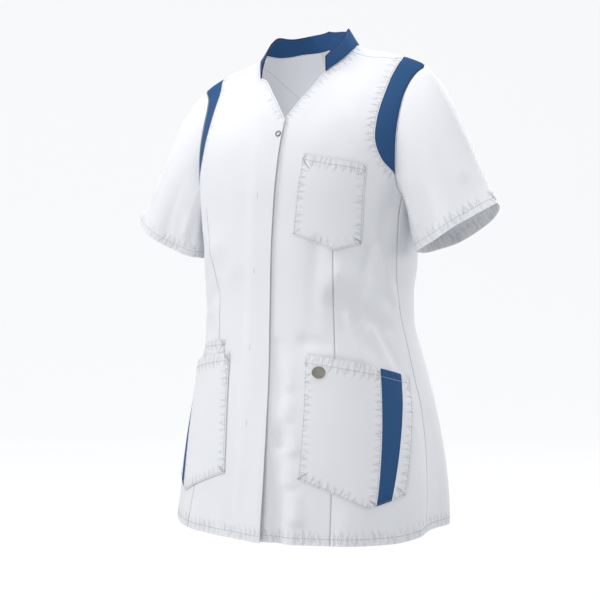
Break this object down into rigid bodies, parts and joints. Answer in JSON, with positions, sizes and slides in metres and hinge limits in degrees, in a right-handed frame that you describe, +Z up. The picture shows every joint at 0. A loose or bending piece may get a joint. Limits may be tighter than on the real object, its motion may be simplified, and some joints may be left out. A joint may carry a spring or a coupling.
{
  "type": "work tunic",
  "caption": "Short-sleeved work tunic with a stand collar, hidden press-stud front, shoulder inserts and patch pockets.",
  "frame": {"origin": "between the two points where the shoulders meet the neck, where the tunic hangs on its wearer", "axes": "+Z up along the tunic, -Y out of its front, +X towards the wearer's left"},
  "size_m": [0.614, 0.3322, 0.7591],
  "materials": {
    "white_twill": "matt twill weave",
    "blue_twill": "matt twill weave",
    "label_tape": "smooth woven tape",
    "dull_steel": "dull"
  },
  "bodies": {
    "root": {"front_right": "white_twill", "front_left": "white_twill", "back": "white_twill", "insert_right": "blue_twill", "insert_left": "blue_twill", "sleeve_right": "white_twill", "sleeve_left": "white_twill", "collar": "blue_twill", "neck_facing": "white_twill", "neck_label": "label_tape", "chest_pocket": "white_twill", "hip_pocket_left": "white_twill", "hip_pocket_right": "white_twill", "pen_strip_left": "blue_twill", "pen_strip_right": "blue_twill", "hip_side_left": "white_twill", "hip_side_right": "white_twill", "phone_pocket": "white_twill", "snap_ring": "dull_steel", "badge": "dull_steel"}
  },
  "joints": []
}
